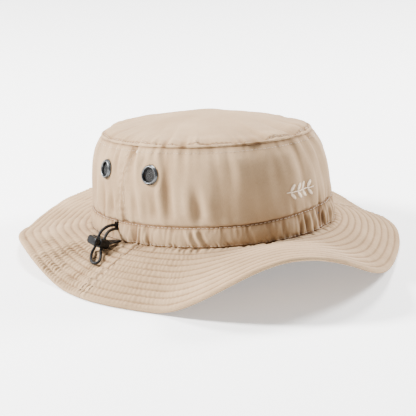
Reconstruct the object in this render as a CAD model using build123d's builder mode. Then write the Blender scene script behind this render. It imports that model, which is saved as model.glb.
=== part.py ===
from build123d import *
from math import atan2, cos, degrees, pi, radians, sin, sqrt, tan
import os

# Boonie hat, millimetres.  +Z up, the wearer faces -Y, the wearer's right is -X.
# The hat stands on its brim; the origin is under the middle of the brim's box.

# ---- head opening and crown ----
HEAD_HALF_WIDTH = 84.0          # base seam oval, across the head
HEAD_HALF_LENGTH = 100.0        # base seam oval, front to back
BASE_CENTRE = Vector(1.2, 0.2, 19.5)
CROWN_PITCH = 8.0               # the crown leans back, degrees
TOP_PITCH_GAIN = 1.0            # the top seam leans back this much more, degrees
TOP_ROLL = -2.0                 # and down to the wearer's left
SIDE_SEAM = 9.0                 # the side seams lie ahead of the widest points, degrees
CLOTH = 0.6
BAND_HEIGHT = 17.0
WALL_HEIGHT = 65.5
DOME_RISE = 13.5
CHANNEL_DEPTH = 3.5             # room for the drawcord between band and wall
# height : inset of the wall's foot, which steps in behind the drawcord
WALL_FOOT = [(0.2, CHANNEL_DEPTH), (6, CHANNEL_DEPTH), (12.5, CHANNEL_DEPTH), (16.0, 1.4), (18.5, 0.75)]
# height above the base seam : scale of the base seam oval, down the outside of the crown
CROWN_PROFILE = [(0, 1.0), (9, 0.99), (20, 0.987), (32, 0.98), (45, 0.962), (56, 0.925), (65.5, 0.854)]
DOME_STEPS = [1.0, 0.95, 0.86, 0.72, 0.52, 0.3, 0.08]
DOME_POWER = 2.1

# ---- brim ----
BRIM_WIDTH = 57.0
BRIM_LAYER = 0.6
BRIM_PITCH = 0.75               # one layer and the gap above it
BRIM_BULGE = 1.5
BRIM_SEAM_FRONT_RIGHT = 196.0   # where the front and back brim pieces are joined, degrees
BRIM_SEAM_FRONT_LEFT = 344.0
SECTION_STEP = 6.0
# the brim's edge stands up in crests: direction, half width either side, height
CRESTS = [(258.5, 36.5, 39, 40.5), (292, 16, 20, 4), (160, 34, 32, 12), (45, 50, 50, 8), (335, 22, 20, 3)]
# and its slant width varies with the way the cloth is drawn: direction, half width, change
WIDTH_CHANGES = [(300, 34, -5), (200, 24, 3), (118, 42, -9), (350, 26, -3)]
BRIM_FOOT = 0.005               # where the outer and lower layers start, as a share of the width
STIFFENER_SPAN = (0.02, 0.97)   # the stiffener stops short of the base seam and the edge

# ---- bands and tapes inside the crown: each a list of height : inset from the outside ----
SWEATBAND_INSET = 4.4
SWEATBAND = [(0.2, SWEATBAND_INSET), (12, SWEATBAND_INSET), (20, 3.0), (30, 2.4)]
TOP_SEAM_TAPE = [(57, 1.1), (61, 1.1), (65, 1.1)]
SIDE_SEAM_TAPE = [(32, 1.0), (45, 1.0), (56.5, 1.0)]
TAPE = 0.5
TAPE_WIDTH = 10.0
TAPE_FORWARD = 8.6              # from the middle of the base to the side seam tapes
LABEL = [(5, 5.3), (12, 5.3), (18, 4.3), (25, 4.0)]
LABEL_WIDTH = 26.0

# ---- vent eyelets ----
VENT_HEIGHT = 47.5
VENT_ANGLE = 14.75              # either side of each side seam, degrees on the oval
EYELET_RADIUS = 7.0
EYELET_BORE = 5.0
EYELET_WALL = 0.45
EYELET_RIM = 1.9
VENT_HOLE = 5.75
WASHER_THICKNESS = 0.5
MESH_THICKNESS = 0.4
MESH_DEPTH = 0.6                # below the outside of the cloth
WASHER_GAP = 0.35               # from the inside of the cloth
TUBE_OVERHANG = 0.9             # the eyelet's tube is turned over this far past its washer

# ---- drawcord and cord lock ----
CORD = 2.2
CHANNEL_CORD_HEIGHT = 11.0
CHANNEL_CORD_INSET = 1.9
EXIT_ANGLE = 182.5
EXIT_HEIGHT = 11.0
EXIT_SLIT = (8.4, 5.4)
CHANNEL_CORD_POINTS = 36
CHANNEL_CORD_GAP = 6.0          # either side of the exit, degrees
LOCK_CENTRE = Vector(-100.1, -9.6, 24.4)
LOCK_RISE = 22.0                # the button points outward and up, degrees
LOCK_WIDTH, LOCK_THICKNESS = 13.6, 6.8
LOCK_BACK, LOCK_FRONT = -4.5, 3.8
LOCK_WALL = 0.9
LOCK_HOLE_RADIUS = 1.6
LOCK_HOLE_SPACING = 8.0
LOCK_CORNER, LOCK_HEEL_FILLET, LOCK_MOUTH_FILLET = 2.4, 1.6, 0.5
CAVITY_CORNER = 1.6
BUTTON_TRAVEL = 1.5
BUTTON_HEAD = 2.2
BUTTON_HEAD_WIDTH, BUTTON_HEAD_THICKNESS = 11.4, 6.0
BUTTON_CORNER, BUTTON_EDGE_FILLET = 1.4, 0.9
FIT = 0.2
END_GAP = 0.15                  # left over at the end of the button's travel
CORD_ROOM = 0.25                # round the cord in the button's slots
POCKET_WALL = 0.6               # between a cord slot and the spring's pocket
SPRING_RADIUS = 1.25
SPRING_WIRE = 0.4
SPRING_TURNS = 4.5
SPRING_ROOM = 0.15              # round the spring in its pocket
TAB_APEX = Vector(-83.2, -7.8, 21.5)
TAB_WIDTH = 9.6
TAB_APEX_WIDTH = 2.4
TAB_THICKNESS = 0.9
# the free loop: out of the slit, down through one hole, round, and back up the other
CORD_ROUTE = [
    (-80.9, -2.9, 31.2), (-85.6, -3.2, 32.2), (-90.4, -3.9, 32.4), (-95.0, -5.0, 31.2),
    (-98.2, -5.6, 29.0), (-101.9, -5.6, 20.0), (-104.3, -6.6, 17.9), (-107.2, -9.6, 17.0),
    (-110.0, -13.6, 16.3), (-112.2, -17.6, 15.5), (-112.9, -21.2, 15.0), (-110.9, -23.9, 15.5),
    (-107.9, -22.6, 16.6), (-105.5, -19.4, 17.6), (-103.4, -15.9, 18.6), (-101.9, -13.6, 20.6),
    (-98.2, -13.6, 29.2), (-95.4, -11.6, 30.6), (-91.6, -8.6, 30.7), (-87.2, -5.6, 30.0),
    (-80.9, -3.6, 28.9),
]

# ---- embroidered sprig on the front ----
SPRIG_HEIGHT = 31.0
SPRIG_OFFSET = 11.0             # towards the wearer's left of centre
THREAD = 0.5
THREAD_GAP = 0.02
STEM_LENGTH, STEM_WIDTH = 26.0, 0.9
LEAF_PLACES = (-9, -3, 3, 9)    # along the stem
LEAF_HALF_LENGTH, LEAF_HALF_WIDTH = 3.2, 1.2
LEAF_TILT = 50.0
LEAF_OFFSET = (1.8, 2.9)        # from its place on the stem to the leaf's middle

CROWN_UP = Vector(0, sin(radians(CROWN_PITCH)), cos(radians(CROWN_PITCH)))
CROWN_BACK = Vector(0, cos(radians(CROWN_PITCH)), -sin(radians(CROWN_PITCH)))
OUTBOARD = Vector(-cos(radians(LOCK_RISE)), 0, sin(radians(LOCK_RISE)))


def crown_plane(height):
    """The plane across the crown at a height above the base seam."""
    pitch = radians(CROWN_PITCH + TOP_PITCH_GAIN * height / WALL_HEIGHT)
    roll = radians(TOP_ROLL * height / WALL_HEIGHT)
    across = Vector(cos(roll), 0, sin(roll))
    along = Vector(0, cos(pitch), -sin(pitch))
    return Plane(origin=BASE_CENTRE + CROWN_UP * height, x_dir=across, z_dir=across.cross(along))


def crown_scale(height):
    """The scale of the base seam oval at a height, between the profile's stations."""
    for (h0, s0), (h1, s1) in zip(CROWN_PROFILE, CROWN_PROFILE[1:]):
        if height <= h1:
            return s0 + (s1 - s0) * (height - h0) / (h1 - h0)
    return CROWN_PROFILE[-1][1]


def crown_point(angle, height, inset=0.0):
    """A point on the crown's outside, or inset from it, by its angle on the oval."""
    a = radians(angle)
    scale = crown_scale(height)
    across = (HEAD_HALF_WIDTH * scale - inset) * cos(a)
    along = (HEAD_HALF_LENGTH * scale - inset) * sin(a)
    return crown_plane(height).from_local_coords((across, along, 0))


def ring(stations, thickness):
    """A cloth ring lofted through ovals: each station is a height and an inset."""
    with BuildPart() as cloth:
        for drop in (0.0, thickness):
            for height, inset in stations:
                scale = crown_scale(height)
                with BuildSketch(crown_plane(height)):
                    Ellipse(
                        HEAD_HALF_WIDTH * scale - inset - drop,
                        HEAD_HALF_LENGTH * scale - inset - drop,
                    )
            loft(ruled=True, mode=Mode.SUBTRACT if drop else Mode.ADD)
    return cloth


def direction(angle):
    """The compass direction, in degrees, of a point on the base seam oval."""
    p = crown_point(angle, 0) - BASE_CENTRE
    return degrees(atan2(p.Y, p.X)) % 360


def bump(angle, centre, before, after):
    """A raised cosine that is 1 at centre and 0 at its two half widths."""
    off = (angle - centre + 180) % 360 - 180
    half = before if off < 0 else after
    return 0.5 + 0.5 * cos(pi * off / half) if abs(off) < half else 0.0


def edge_height(angle):
    return sum(h * bump(angle, c, before, after) for c, before, after, h in CRESTS)


def brim_width(angle):
    return BRIM_WIDTH + sum(d * bump(angle, c, w, w) for c, w, d in WIDTH_CHANGES)


def brim_section(angle, layer, inner, outer):
    """The plane and closed outline of one brim layer, cut outward from the base seam."""
    a = radians(angle)
    foot = crown_point(angle, 0) - Vector(0, 0, 3 * BRIM_PITCH)
    n = Vector(cos(a) / HEAD_HALF_WIDTH, sin(a) / HEAD_HALF_LENGTH, 0).normalized()
    way = direction(angle)
    drop = edge_height(way) - foot.Z
    reach = sqrt(brim_width(way) ** 2 - drop**2)
    plane = Plane(origin=foot, x_dir=n, z_dir=Vector(n.Y, -n.X, 0))

    def at(t, lift):
        return (reach * t, drop * t + 4 * BRIM_BULGE * t * (1 - t) + lift)

    low, high = layer * BRIM_PITCH, layer * BRIM_PITCH + BRIM_LAYER
    middle = (inner + outer) / 2
    return plane, [at(inner, low), at(middle, low), at(outer, low),
                   at(outer, high), at(middle, high), at(inner, high)]


def brim_piece(start, end, layer, inner, outer):
    """One layer of the brim between two of its seams."""
    count = round((end - start) / SECTION_STEP)
    with BuildPart() as piece:
        for i in range(count + 1):
            plane, p = brim_section(start + (end - start) * i / count, layer, inner, outer)
            with BuildSketch(plane):
                with BuildLine():
                    ThreePointArc(p[0], p[1], p[2])
                    Line(p[2], p[3])
                    ThreePointArc(p[3], p[4], p[5])
                    Line(p[5], p[0])
                make_face()
        loft()
    return piece


def vent_plane(angle):
    """The plane that a vent eyelet lies on: its Z points out of the crown."""
    here = crown_point(angle, VENT_HEIGHT)
    along = crown_point(angle + 2, VENT_HEIGHT) - crown_point(angle - 2, VENT_HEIGHT)
    rise = crown_point(angle, VENT_HEIGHT + 6) - crown_point(angle, VENT_HEIGHT - 6)
    return Plane(origin=here, x_dir=along, z_dir=along.cross(rise))


def corner_radii(points, share=0.45):
    """The largest arc that each corner of a cord's route leaves room for."""
    radii = []
    for a, b, c in zip(points, points[1:], points[2:]):
        before, after = Vector(*b) - Vector(*a), Vector(*c) - Vector(*b)
        half_turn = radians(before.get_angle(after)) / 2
        radii.append(share * min(before.length, after.length) / tan(half_turn))
    return radii


def cord_tube(name, points):
    """A cord of straight runs and tangent arcs."""
    radii = corner_radii(points)
    with BuildPart() as tube:
        with BuildLine() as route:
            FilletPolyline(*points, radius=radii)
        with BuildSketch(Plane(origin=route.line @ 0, z_dir=route.line % 0)):
            Circle(CORD / 2)
        sweep()
    length = sum(edge.length for edge in route.line.edges())
    section = pi * CORD**2 / 4
    print(name, "length", round(length, 1), "volume ratio", round(tube.part.volume / section / length, 4))
    print(name, "radii", [round(r, 1) for r in radii])
    return tube


def save(name, block):
    block.part.label = name
    export_step(block.part, f"parts/{name}.step")


os.makedirs("parts", exist_ok=True)
vent_angles = [side + off for side in (180 + SIDE_SEAM, -SIDE_SEAM) for off in (-VENT_ANGLE, VENT_ANGLE)]
seam_forward = HEAD_HALF_LENGTH * sin(radians(SIDE_SEAM))
side_plane = Plane(origin=BASE_CENTRE - CROWN_BACK * seam_forward, x_dir=(1, 0, 0), z_dir=CROWN_BACK)


# ---- crown ----
def crown_wall(keep):
    """The crown's side, front or back half; its foot steps in behind the drawcord."""
    with BuildPart() as wall:
        add(ring(WALL_FOOT + [(h, 0.0) for h, _ in CROWN_PROFILE[2:]], CLOTH).part)
        for angle in vent_angles:
            with BuildSketch(vent_plane(angle)):
                Circle(VENT_HOLE)
            extrude(amount=4, both=True, mode=Mode.SUBTRACT)
        split(bisect_by=side_plane, keep=keep)
    return wall


save("crown_front_panel", crown_wall(Keep.BOTTOM))
save("crown_back_panel", crown_wall(Keep.TOP))

with BuildPart() as crown_top_panel:
    for thin in (0.0, CLOTH):
        for k in DOME_STEPS:
            seam = crown_plane(WALL_HEIGHT)
            scale = crown_scale(WALL_HEIGHT) * k
            with BuildSketch(seam.offset(DOME_RISE * (1 - k**DOME_POWER) - thin)):
                Ellipse(HEAD_HALF_WIDTH * scale - thin, HEAD_HALF_LENGTH * scale - thin)
        loft(ruled=True, mode=Mode.SUBTRACT if thin else Mode.ADD)
    split(bisect_by=crown_plane(WALL_HEIGHT), keep=Keep.TOP)
save("crown_top_panel", crown_top_panel)

# ---- band that holds the drawcord, slit where the cord comes out ----
with BuildPart() as drawcord_channel:
    add(ring([(0.2, 0.0), (9, 0.0), (BAND_HEIGHT, 0.0)], CLOTH).part)
    exit_point = crown_point(EXIT_ANGLE, EXIT_HEIGHT)
    with BuildSketch(Plane(origin=exit_point, x_dir=(0, 1, 0), z_dir=(-1, 0, 0))):
        SlotOverall(*EXIT_SLIT, rotation=90)
    extrude(amount=6, both=True, mode=Mode.SUBTRACT)
save("drawcord_channel", drawcord_channel)

# ---- inside bands, tapes and label ----
save("sweatband", ring(SWEATBAND, CLOTH))
save("top_seam_tape", ring(TOP_SEAM_TAPE, TAPE))

for side, x_way in (("right", -1), ("left", 1)):
    with BuildPart() as side_seam_tape:
        add(ring(SIDE_SEAM_TAPE, TAPE).part)
        with BuildSketch(Plane.YZ):
            with Locations((BASE_CENTRE.Y - TAPE_FORWARD, 0)):
                Rectangle(TAPE_WIDTH, 4 * WALL_HEIGHT)
        extrude(amount=2 * HEAD_HALF_WIDTH * x_way, mode=Mode.INTERSECT)
    save(f"side_seam_tape_{side}", side_seam_tape)

with BuildPart() as size_label:
    add(ring(LABEL, TAPE).part)
    with BuildSketch(Plane.XZ):
        with Locations((BASE_CENTRE.X, 0)):
            Rectangle(LABEL_WIDTH, 4 * WALL_HEIGHT)
    extrude(amount=-2 * HEAD_HALF_LENGTH, mode=Mode.INTERSECT)
save("size_label", size_label)

# ---- brim: outer cloth, stiffener and lining, each joined at two seams ----
halves = {
    "front": (BRIM_SEAM_FRONT_RIGHT, BRIM_SEAM_FRONT_LEFT),
    "back": (BRIM_SEAM_FRONT_LEFT, BRIM_SEAM_FRONT_RIGHT + 360),
}
for half, (start, end) in halves.items():
    save(f"brim_lower_{half}", brim_piece(start, end, 0, BRIM_FOOT, 1.0))
    save(f"brim_interlining_{half}", brim_piece(start, end, 1, *STIFFENER_SPAN))
    save(f"brim_upper_{half}", brim_piece(start, end, 2, BRIM_FOOT, 1.0))

# ---- vent eyelets, their washers and mesh ----
for number, angle in enumerate(vent_angles, 1):
    plane = vent_plane(angle)
    profile = Plane(origin=plane.origin, x_dir=plane.x_dir, z_dir=-plane.y_dir)
    axis = Axis(plane.origin, plane.z_dir)
    tube_foot = -CLOTH - WASHER_THICKNESS - TUBE_OVERHANG
    with BuildPart() as vent_eyelet:
        with BuildSketch(profile):
            with BuildLine():
                Polyline(
                    (EYELET_BORE, tube_foot), (EYELET_BORE + EYELET_WALL, tube_foot),
                    (EYELET_BORE + EYELET_WALL, 0.05), (EYELET_RADIUS, 0.05),
                    (EYELET_RADIUS, 0.45),
                )
                Spline(
                    (EYELET_RADIUS, 0.45), (6.3, 1.45), (5.75, EYELET_RIM - 0.1),
                    (5.3, 1.5), (EYELET_BORE, 0.5),
                )
                Line((EYELET_BORE, 0.5), (EYELET_BORE, tube_foot))
            make_face()
        revolve(axis=axis)
    save(f"vent_eyelet_{number}", vent_eyelet)
    with BuildPart() as vent_washer:
        with BuildSketch(plane.offset(-CLOTH - WASHER_GAP - WASHER_THICKNESS)):
            Circle(EYELET_RADIUS - 0.4)
            Circle(EYELET_BORE + EYELET_WALL + 0.02, mode=Mode.SUBTRACT)
        extrude(amount=WASHER_THICKNESS)
    save(f"vent_washer_{number}", vent_washer)
    with BuildPart() as vent_mesh:
        with BuildSketch(plane.offset(-MESH_DEPTH)):
            Circle(EYELET_BORE - 0.02)
        extrude(amount=MESH_THICKNESS)
    save(f"vent_mesh_{number}", vent_mesh)

# ---- drawcord ----
span = 360 - 2 * CHANNEL_CORD_GAP
channel_route = []
for i in range(CHANNEL_CORD_POINTS + 1):
    turn = EXIT_ANGLE + CHANNEL_CORD_GAP + span * i / CHANNEL_CORD_POINTS
    channel_route.append(tuple(crown_point(turn, CHANNEL_CORD_HEIGHT, CHANNEL_CORD_INSET)))
save("drawcord_in_channel", cord_tube("drawcord_in_channel", channel_route))
save("drawcord_loop", cord_tube("drawcord_loop", CORD_ROUTE))

# ---- cord lock: shell, button and spring, held to the base seam by a tab ----
lock = Plane(origin=LOCK_CENTRE, x_dir=(0, 1, 0), z_dir=OUTBOARD)
hole_side = Plane(origin=LOCK_CENTRE, x_dir=(0, 1, 0), z_dir=lock.y_dir)
cavity_width = LOCK_WIDTH - 2 * LOCK_WALL
cavity_thickness = LOCK_THICKNESS - 2 * LOCK_WALL
cavity_floor = LOCK_BACK + LOCK_WALL
tongue_end = cavity_floor + BUTTON_TRAVEL + END_GAP
head_start = LOCK_FRONT + BUTTON_TRAVEL + END_GAP

with BuildPart() as cord_lock_body:
    with BuildSketch(lock.offset(LOCK_BACK)):
        RectangleRounded(LOCK_WIDTH, LOCK_THICKNESS, LOCK_CORNER)
    extrude(amount=LOCK_FRONT - LOCK_BACK)
    fillet(cord_lock_body.faces().sort_by(Axis(LOCK_CENTRE, OUTBOARD))[0].edges(), LOCK_HEEL_FILLET)
    fillet(cord_lock_body.faces().sort_by(Axis(LOCK_CENTRE, OUTBOARD))[-1].edges(), LOCK_MOUTH_FILLET)
    with BuildSketch(lock.offset(cavity_floor)):
        RectangleRounded(cavity_width, cavity_thickness, CAVITY_CORNER)
    extrude(amount=LOCK_FRONT - cavity_floor, mode=Mode.SUBTRACT)
    with BuildSketch(hole_side):
        with GridLocations(LOCK_HOLE_SPACING, 1, 2, 1):
            Circle(LOCK_HOLE_RADIUS)
    extrude(amount=LOCK_THICKNESS, both=True, mode=Mode.SUBTRACT)
save("cord_lock_body", cord_lock_body)

slot_back = -CORD / 2 - CORD_ROOM
slot_front = CORD / 2 + CORD_ROOM + BUTTON_TRAVEL
pocket_end = slot_front - POCKET_WALL
with BuildPart() as cord_lock_button:
    with BuildSketch(lock.offset(tongue_end)):
        RectangleRounded(cavity_width - 2 * FIT, cavity_thickness - 2 * FIT, BUTTON_CORNER)
    extrude(amount=head_start - tongue_end)
    with BuildSketch(lock.offset(head_start)):
        RectangleRounded(BUTTON_HEAD_WIDTH, BUTTON_HEAD_THICKNESS, LOCK_CORNER)
    extrude(amount=BUTTON_HEAD)
    fillet(cord_lock_button.faces().sort_by(Axis(LOCK_CENTRE, OUTBOARD))[-1].edges(), BUTTON_EDGE_FILLET)
    with BuildSketch(hole_side):
        with Locations((0, -(slot_back + slot_front) / 2)):
            with GridLocations(LOCK_HOLE_SPACING, 1, 2, 1):
                SlotOverall(slot_front - slot_back, 2 * LOCK_HOLE_RADIUS - 0.1, rotation=90)
    extrude(amount=LOCK_THICKNESS, both=True, mode=Mode.SUBTRACT)
    with BuildSketch(lock.offset(tongue_end)):
        Circle(SPRING_RADIUS + SPRING_WIRE / 2 + SPRING_ROOM)
    extrude(amount=pocket_end - tongue_end, mode=Mode.SUBTRACT)
save("cord_lock_button", cord_lock_button)

spring_foot = cavity_floor + SPRING_WIRE / 2
spring_length = pocket_end - cavity_floor - SPRING_WIRE
with BuildPart() as cord_lock_spring:
    with BuildLine() as coil:
        Helix(
            pitch=spring_length / SPRING_TURNS, height=spring_length, radius=SPRING_RADIUS,
            center=LOCK_CENTRE + OUTBOARD * spring_foot, direction=OUTBOARD,
        )
    with BuildSketch(Plane(origin=coil.line @ 0, z_dir=coil.line % 0)):
        Circle(SPRING_WIRE / 2)
    sweep(is_frenet=True)
save("cord_lock_spring", cord_lock_spring)

with BuildPart() as toggle_tab:
    with BuildSketch(Plane(origin=TAB_APEX, x_dir=(0, 1, 0), z_dir=OUTBOARD)):
        Rectangle(TAB_APEX_WIDTH, TAB_THICKNESS)
    with BuildSketch(lock.offset(LOCK_BACK - 0.02)):
        Rectangle(TAB_WIDTH, TAB_THICKNESS)
    loft()
save("toggle_tab", toggle_tab)

# ---- embroidered sprig: a stem and leaves of raised thread on the front panel ----
with BuildPart() as embroidered_sprig:
    stations = [(SPRIG_HEIGHT + step, -THREAD - THREAD_GAP) for step in (-9, 1, 11)]
    add(ring(stations, THREAD).part)
    middle = BASE_CENTRE + CROWN_UP * SPRIG_HEIGHT
    with BuildSketch(Plane(origin=middle, x_dir=(1, 0, 0), z_dir=-CROWN_BACK)):
        with Locations((SPRIG_OFFSET, 0)):
            SlotOverall(STEM_LENGTH, STEM_WIDTH)
            for x in LEAF_PLACES:
                for side in (1, -1):
                    with Locations((x + LEAF_OFFSET[0], side * LEAF_OFFSET[1])):
                        Ellipse(LEAF_HALF_LENGTH, LEAF_HALF_WIDTH, rotation=side * LEAF_TILT)
    extrude(amount=2 * HEAD_HALF_LENGTH, mode=Mode.INTERSECT)
save("embroidered_sprig", embroidered_sprig)
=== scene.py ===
"""A boonie hat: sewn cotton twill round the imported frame, its vents, drawcord and cord lock."""
import math

import bpy
import bmesh
import numpy as np
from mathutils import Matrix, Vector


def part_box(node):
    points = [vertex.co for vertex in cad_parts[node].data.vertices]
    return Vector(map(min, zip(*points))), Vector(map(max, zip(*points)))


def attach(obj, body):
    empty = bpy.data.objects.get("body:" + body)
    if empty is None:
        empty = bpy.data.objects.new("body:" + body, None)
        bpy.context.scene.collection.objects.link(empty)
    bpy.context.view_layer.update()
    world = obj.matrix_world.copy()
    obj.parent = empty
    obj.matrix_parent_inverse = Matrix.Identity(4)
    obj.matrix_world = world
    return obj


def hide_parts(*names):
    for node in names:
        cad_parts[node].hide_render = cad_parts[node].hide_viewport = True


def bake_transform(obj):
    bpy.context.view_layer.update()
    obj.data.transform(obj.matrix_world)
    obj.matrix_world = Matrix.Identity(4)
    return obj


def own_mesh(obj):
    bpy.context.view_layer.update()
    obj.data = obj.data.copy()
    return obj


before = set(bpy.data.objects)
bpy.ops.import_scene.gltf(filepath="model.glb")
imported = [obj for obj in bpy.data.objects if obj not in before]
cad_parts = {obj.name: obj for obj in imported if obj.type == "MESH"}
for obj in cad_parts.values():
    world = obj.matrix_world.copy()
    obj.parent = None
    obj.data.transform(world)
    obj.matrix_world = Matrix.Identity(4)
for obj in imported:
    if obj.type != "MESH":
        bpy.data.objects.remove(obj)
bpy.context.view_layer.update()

MM = 0.001

# ---- the hat's driving dimensions, millimetres and degrees, as in the frame ----
HALF_WIDTH, HALF_LENGTH = 84.0, 100.0
BASE_CENTRE = np.array([1.2, 0.2, 19.5])
CROWN_PITCH, TOP_PITCH_GAIN, TOP_ROLL = 8.0, 1.0, -2.0
SIDE_SEAM = 9.0
WALL_HEIGHT, BAND_HEIGHT = 65.5, 17.0
DOME_RISE, DOME_POWER = 13.5, 2.1
PROFILE = [(-20, 1.0), (0, 1.0), (9, 0.99), (20, 0.987), (32, 0.98), (45, 0.962), (56, 0.925),
           (65.5, 0.854), (80, 0.75)]
CLOTH = 0.55
BRIM_WIDTH, BRIM_BULGE = 57.0, 1.5
BRIM_STACK = 2.25
CRESTS = [(258.5, 36.5, 39, 40.5), (292, 16, 20, 4), (160, 34, 32, 12), (45, 50, 50, 8), (335, 22, 20, 3)]
WIDTH_CHANGES = [(300, 34, -5), (200, 24, 3), (118, 42, -9), (350, 26, -3)]
BRIM_SEAMS = (196.0, 344.0)
BRIM_ROWS = 9
ROW_GAP, LAST_ROW = 5.8, 5.0
VENT_ANGLES = (174.25, 203.75, 336.25, 365.75)
VENT_HEIGHT = 47.5
EXIT_ANGLE, EXIT_HEIGHT = 182.5, 11.0
STITCH, STITCH_GAP = 2.3, 0.8
PLEAT = 3.3
THREAD = 0.2
LOCK_RISE, BUTTON_TRAVEL = 22.0, 1.5
SPRING_RADIUS, SPRING_WIRE, SPRING_TURNS = 1.25, 0.4, 4.5
UV_MM = 100.0

# ---- how the cloth lies: lengths in millimetres, angles in degrees ----
CLAMP_RADIUS, CLAMP_FADE, VENT_CUT = 6.6, 6.0, 5.9
SEAM_HOLD, TUCK = 8.0, 3.6
LIP, DOME_REACH = 0.03, 80.0
BAND_MIDDLE, BAND_PUFF, BAND_RIDGES = 7.0, 1.3, (221.5, 225.5)
PUFF_SIZE, EDGE_ROUND, TOP_CLEAR, FLOOR_GAP = 1.3, 1.3, 1.2, 0.02
EDGE_STEPS = np.array([1.2, 0.8, 0.45, 0.18, 0.0])
SWEATBAND_ROWS = (27.5, 2.5)
FOLD_LEAN, FOLD_SIZE, FOLD_WIDEN, FOLD_SHORTEN = 0.05, 1.2, 1.25, 0.8
# a level all round, and its smooth peaks: angle, reach before and after it, and height
BAND_LINE = (13.6, ((300, 60, 90, 3.0), (90, 100, 90, 1.5)))
BAND_PULL = (0.25, ((292, 38, 60, 1.0), (194, 34, 24, 0.8), (90, 80, 80, 0.5)))
WALL_TOP_PULL = (0.45, ((196, 22, 34, 0.75), (286, 40, 50, 0.75), (90, 90, 90, 0.3)))
WALL_FOOT_PULL = (0.3, ((180, 30, 28, 1.0), (295, 35, 50, 0.9), (90, 90, 90, 0.4)))
DOME_PULL = (0.5, ((215, 40, 30, 0.8), (275, 40, 50, 0.9)))
BRIM_PULL = (0.1, ((100, 120, 75, 0.45), (15, 50, 60, 0.35), (214, 20, 22, 0.25)))
# pleats at a gathered seam: height, pitch, noise seed, slant, reach from the seam, and where they start
WALL_TOP_GATHERS = ((1.5, 3.8, 8, 0.02, 6.0, 0), (1.7, 7.0, 10, -0.03, 15.0, 0))
WALL_FOOT_GATHERS = ((1.0, 3.6, 21, 0.04, 8.0, 0),)
DOME_GATHERS = ((1.6, 3.8, 8, 0.05, 6.5, 2.0), (1.9, 8.0, 44, 0.08, 14.0, 3.0))

# ---- the free end of the drawcord: the points of its route, metres ----
CORD_DIAMETER = 0.0022
CORD_ROUTE = [
    (-0.0809, -0.0029, 0.0312), (-0.0856, -0.0032, 0.0322), (-0.0904, -0.0039, 0.0324),
    (-0.0950, -0.0050, 0.0312), (-0.0982, -0.0056, 0.0290), (-0.1019, -0.0056, 0.0200),
    (-0.1043, -0.0066, 0.0179), (-0.1072, -0.0096, 0.0170), (-0.1100, -0.0136, 0.0163),
    (-0.1122, -0.0176, 0.0155), (-0.1129, -0.0212, 0.0150), (-0.1109, -0.0239, 0.0155),
    (-0.1079, -0.0226, 0.0166), (-0.1055, -0.0194, 0.0176), (-0.1034, -0.0159, 0.0186),
    (-0.1019, -0.0136, 0.0206), (-0.0982, -0.0136, 0.0292), (-0.0954, -0.0116, 0.0306),
    (-0.0916, -0.0086, 0.0307), (-0.0872, -0.0056, 0.0300), (-0.0809, -0.0036, 0.0289),
]


# ---------------------------------------------------------------- camera, lights, floor
def new_object(name, data):
    """An object in the scene."""
    obj = bpy.data.objects.new(name, data)
    bpy.context.scene.collection.objects.link(obj)
    return obj


def look_at(obj, place, target):
    way = np.asarray(target, float) - np.asarray(place, float)
    obj.location = place
    obj.rotation_euler = (
        math.atan2(math.hypot(way[0], way[1]), -way[2]),
        0.0,
        math.atan2(way[1], way[0]) - math.pi / 2,
    )


def around(azimuth, elevation, distance, target):
    a, e = math.radians(azimuth), math.radians(elevation)
    back = np.array([math.sin(a) * math.cos(e), -math.cos(a) * math.cos(e), math.sin(e)])
    return np.asarray(target) + back * distance


def make_camera():
    azimuth, elevation, distance = -34.0, 19.5, 1.14
    a = math.radians(azimuth)
    target = np.array([0.0012, 0.0002, 0.0266]) - 0.003 * np.array([math.cos(a), math.sin(a), 0])
    data = bpy.data.cameras.new("camera")
    data.lens, data.sensor_width = 133.6, 36.0
    camera = new_object("camera", data)
    look_at(camera, around(azimuth, elevation, distance, target), target)
    bpy.context.scene.camera = camera


def area_light(name, azimuth, elevation, distance, size, power, colour):
    data = bpy.data.lights.new(name, "AREA")
    data.shape, data.size, data.energy, data.color = "DISK", size, power, colour
    lamp = new_object(name, data)
    look_at(lamp, around(azimuth, elevation, distance, (0, 0, 0.05)), (0, 0, 0.04))


def make_stage():
    area_light("key_left", -122, 36, 1.4, 0.3, 88.0, (1.0, 0.995, 0.985))
    area_light("rim_right", 82, 30, 1.3, 0.4, 42.0, (1.0, 0.995, 0.99))
    area_light("top_soft", 150, 68, 1.5, 0.5, 40.0, (1.0, 1.0, 1.0))
    world = bpy.data.worlds.new("studio")
    world.use_nodes = True
    world.node_tree.nodes["Background"].inputs[0].default_value = (1.0, 1.0, 1.0, 1.0)
    world.node_tree.nodes["Background"].inputs[1].default_value = 0.55
    bpy.context.scene.world = world
    mesh = bpy.data.meshes.new("floor")
    reach = 6.0
    corners = [(-reach, -reach, 0), (reach, -reach, 0), (reach, reach, 0), (-reach, reach, 0)]
    mesh.from_pydata(corners, [], [(0, 1, 2, 3)])
    s = Shader("floor_white")
    s.feed(s.surface.inputs, {
        "Base Color": grey(0.96), "Roughness": 0.9, "Emission Color": grey(1.0), "Emission Strength": 0.45})
    mesh.materials.append(s.material)
    new_object("floor", mesh)


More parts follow.
